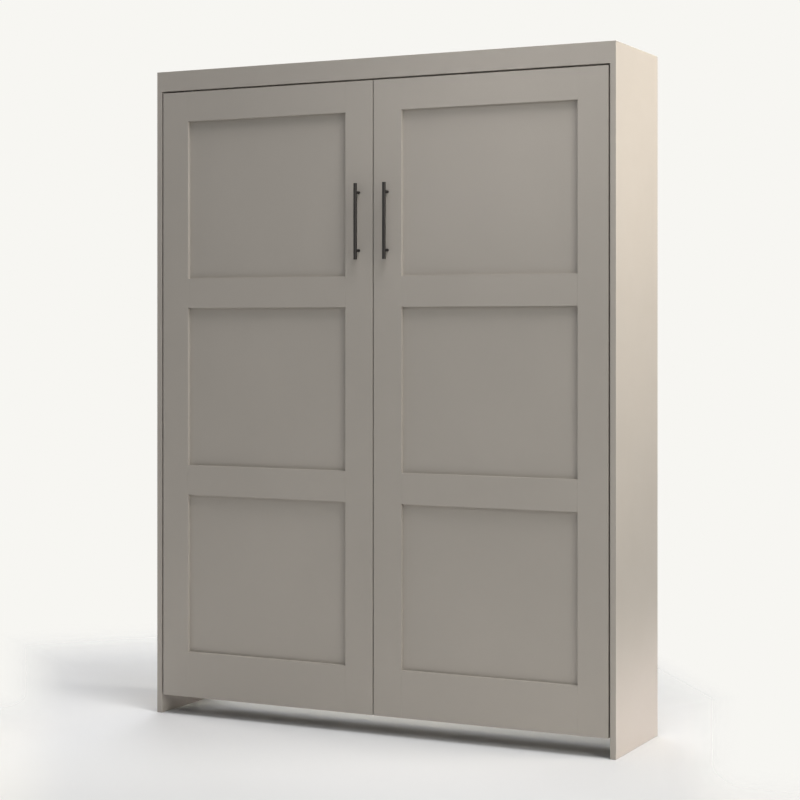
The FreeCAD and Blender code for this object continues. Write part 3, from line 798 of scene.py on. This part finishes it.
paper_with_painted_light = bpy.data.materials.new("paper_with_painted_light")
paper_with_painted_light.use_nodes = True
tree = paper_with_painted_light.node_tree
tree.nodes.clear()
shown = node_of(tree, "ShaderNodeBsdfDiffuse", {"Color": FLOOR_TONE + (1,)})
# Floor painted lighter at the sides and far ahead: painted light.
painted_lighter = node_of(tree, "ShaderNodeBsdfDiffuse", {"Color": FLOOR_PAINTED_LIGHTER + (1,)})
# Brighter floor seen only by light bouncing onto the bed: painted bounce light.
painted_bounce = node_of(tree, "ShaderNodeBsdfDiffuse", {"Color": FLOOR_PAINTED_BOUNCE + (1,)})
clear = node_of(tree, "ShaderNodeBsdfTransparent")
spot = node_of(tree, "ShaderNodeTexCoord").outputs["Object"]


def floor_line(way, operation="DOT_PRODUCT"):
    """Distance of a place on the floor along a way, or from a point."""
    along = node_of(tree, "ShaderNodeVectorMath", operation=operation)
    tree.links.new(spot, along.inputs[0])
    along.inputs[1].default_value = way
    return along.outputs["Value"]


def looked_at(tree):
    """One for rays that show a surface directly, in a mirror or through glass."""
    path = node_of(tree, "ShaderNodeLightPath")
    mirrored_or_through = arithmetic(tree, "MAXIMUM", path.outputs["Is Glossy Ray"],
                                     path.outputs["Is Transmission Ray"])
    return arithmetic(tree, "MAXIMUM", path.outputs["Is Camera Ray"], mirrored_or_through)


def mixed(tree, share, first, second):
    """Two shaders mixed by the share of the second."""
    blend = node_of(tree, "ShaderNodeMixShader")
    tree.links.new(share, blend.inputs["Fac"])
    tree.links.new(first.outputs[0], blend.inputs[1])
    tree.links.new(second.outputs[0], blend.inputs[2])
    return blend


def smooth_rise(value, span):
    """A smooth rise from zero to one over a span of the value."""
    rise = node_of(tree, "ShaderNodeMapRange", {"From Min": span[0], "From Max": span[1]},
                   interpolation_type="SMOOTHSTEP")
    tree.links.new(value, rise.inputs["Value"])
    return rise.outputs["Result"]


floor_across = floor_line((math.cos(VIEW_TURN), math.sin(VIEW_TURN), 0))
floor_behind = floor_line((-math.sin(VIEW_TURN), math.cos(VIEW_TURN), 0))
splay = arithmetic(tree, "DIVIDE", floor_across, arithmetic(tree, "ADD", floor_behind, FADE_REACH))
sideways = arithmetic(tree, "ABSOLUTE", arithmetic(tree, "ADD", splay, FADE_SHIFT), 0.0)
aside = smooth_rise(sideways, FADE_ACROSS)
ahead = smooth_rise(floor_line(DEPTH), FADE_AHEAD)
aside_ahead = arithmetic(tree, "MULTIPLY", aside, ahead)
beside = arithmetic(tree, "SUBTRACT", aside, aside_ahead)
around = smooth_rise(floor_line(FADE_MIDDLE, "DISTANCE"), FADE_ROUND)
far_out = arithmetic(tree, "MAXIMUM", smooth_rise(floor_behind, FADE_BEHIND), around)
back_right = smooth_rise(floor_line(BACK_RIGHT), FADE_BACK_RIGHT)
faded = arithmetic(tree, "MAXIMUM", arithmetic(tree, "MAXIMUM", beside, back_right), far_out)
# Where the floor is painted lighter as painted light: at the sides ahead and far in front.
painted_lighter_far_ahead = smooth_rise(floor_behind, PAINTED_LIGHTER_AHEAD)
toned_with_painted_light = mixed(tree, arithmetic(tree, "MAXIMUM", aside_ahead, painted_lighter_far_ahead), shown, painted_lighter)
# Light the floor bounces takes the brighter painted tone, and what is shown takes the tones above.
surface = mixed(tree, looked_at(tree), painted_bounce, mixed(tree, faded, toned_with_painted_light, clear))
tree.links.new(surface.outputs["Shader"], node_of(tree, "ShaderNodeOutputMaterial").inputs["Surface"])
floor_data.materials.append(paper_with_painted_light)

world = bpy.data.worlds.new("surround")
scene.world = world
world.use_nodes = True
tree = world.node_tree
tree.nodes.clear()
seen = node_of(tree, "ShaderNodeBackground", {"Color": SURROUND + (1,), "Strength": 1.0})
lit = node_of(tree, "ShaderNodeBackground", {"Color": SURROUND + (1,), "Strength": AMBIENT_LEVEL})
surface = mixed(tree, looked_at(tree), lit, seen)
tree.links.new(surface.outputs["Shader"], node_of(tree, "ShaderNodeOutputWorld").inputs["Surface"])

# Soft studio lamps: name, place, aim, width, height, spread, power and colour.
MIDDLE = (0.0, 0.0, 1.1)
MIDDLE_SIDE = (0.85, 0.0, 1.7)
FOOT_SIDE = (0.85, 0.0, 0.05)
KICK = (0.0, 0.05, 0.0)
UPPER_DOOR = (0.40, -0.20, 1.97)
LAMPS = (
    ("right", (2.60, 0.35, 2.90), MIDDLE_SIDE, 1.2, 1.2, 80.0, 13.2, (1.0, 0.911, 0.803)),
    ("right_low", (2.30, 0.20, 0.12), FOOT_SIDE, 1.2, 0.2, 34.0, 1.05, (1.0, 0.910, 0.900)),
    ("right_front", (3.84, -2.04, 2.27), MIDDLE, 1.6, 1.6, 180.0, 47.0, (1.0, 0.976, 0.905)),
    ("front", (1.00, -3.30, 3.90), MIDDLE, 2.4, 2.4, 180.0, 16.0, (0.850, 0.930, 1.0)),
    ("accent", (1.50, -2.60, 3.10), UPPER_DOOR, 0.5, 0.5, 20.0, 0.16, (1.0, 0.950, 0.930)),
    ("high", (1.50, -1.17, 5.18), MIDDLE, 2.0, 2.0, 180.0, 122.0, (1.0, 0.965, 0.960)),
    ("overhead", (0.00, -0.16, 5.60), MIDDLE, 2.0, 2.0, 180.0, 50.0, (0.880, 0.980, 1.0)),
    ("behind", (-2.22, 3.42, 3.00), MIDDLE, 2.8, 1.4, 180.0, 119.0, (0.935, 0.945, 0.960)),
    ("under", (0.00, 2.10, 3.00), KICK, 1.6, 0.8, 32.0, 1.8, (1.0, 0.900, 0.730)),
    ("left", (-3.90, 0.00, 3.35), MIDDLE, 1.6, 1.6, 180.0, 64.0, (1.0, 0.915, 0.865)),
)
# Lamp that stays out of reflections, so that the top panel keeps its satin look.
GLARING = ("behind",)
for name, place, aim, width, height, spread_angle, power, colour in LAMPS:
    lamp = bpy.data.lights.new(name, "AREA")
    lamp.shape = "RECTANGLE"
    lamp.size = width
    lamp.size_y = height
    lamp.spread = math.radians(spread_angle)
    lamp.energy = power
    lamp.color = colour
    holder = bpy.data.objects.new(name, lamp)
    holder.visible_glossy = name not in GLARING
    holder.location = place
    holder.rotation_euler = (Vector(aim) - Vector(place)).to_track_quat("-Z", "Y").to_euler()
    scene.collection.objects.link(holder)

# Camera at the height of an eye, level, a little to the right of the bed.
CAMERA_PLACE = (2.898, -5.847, 1.338)
LENS = 86.74
SENSOR = 36.0
SHIFT_UP = -0.0885

camera = bpy.data.cameras.new("camera")
camera.lens = LENS
camera.sensor_width = SENSOR
camera.shift_y = SHIFT_UP
viewer = bpy.data.objects.new("camera", camera)
viewer.location = CAMERA_PLACE
viewer.rotation_euler = (TURN / 4, 0, VIEW_TURN)
scene.collection.objects.link(viewer)
scene.camera = viewer
scene.view_settings.view_transform = "Standard"
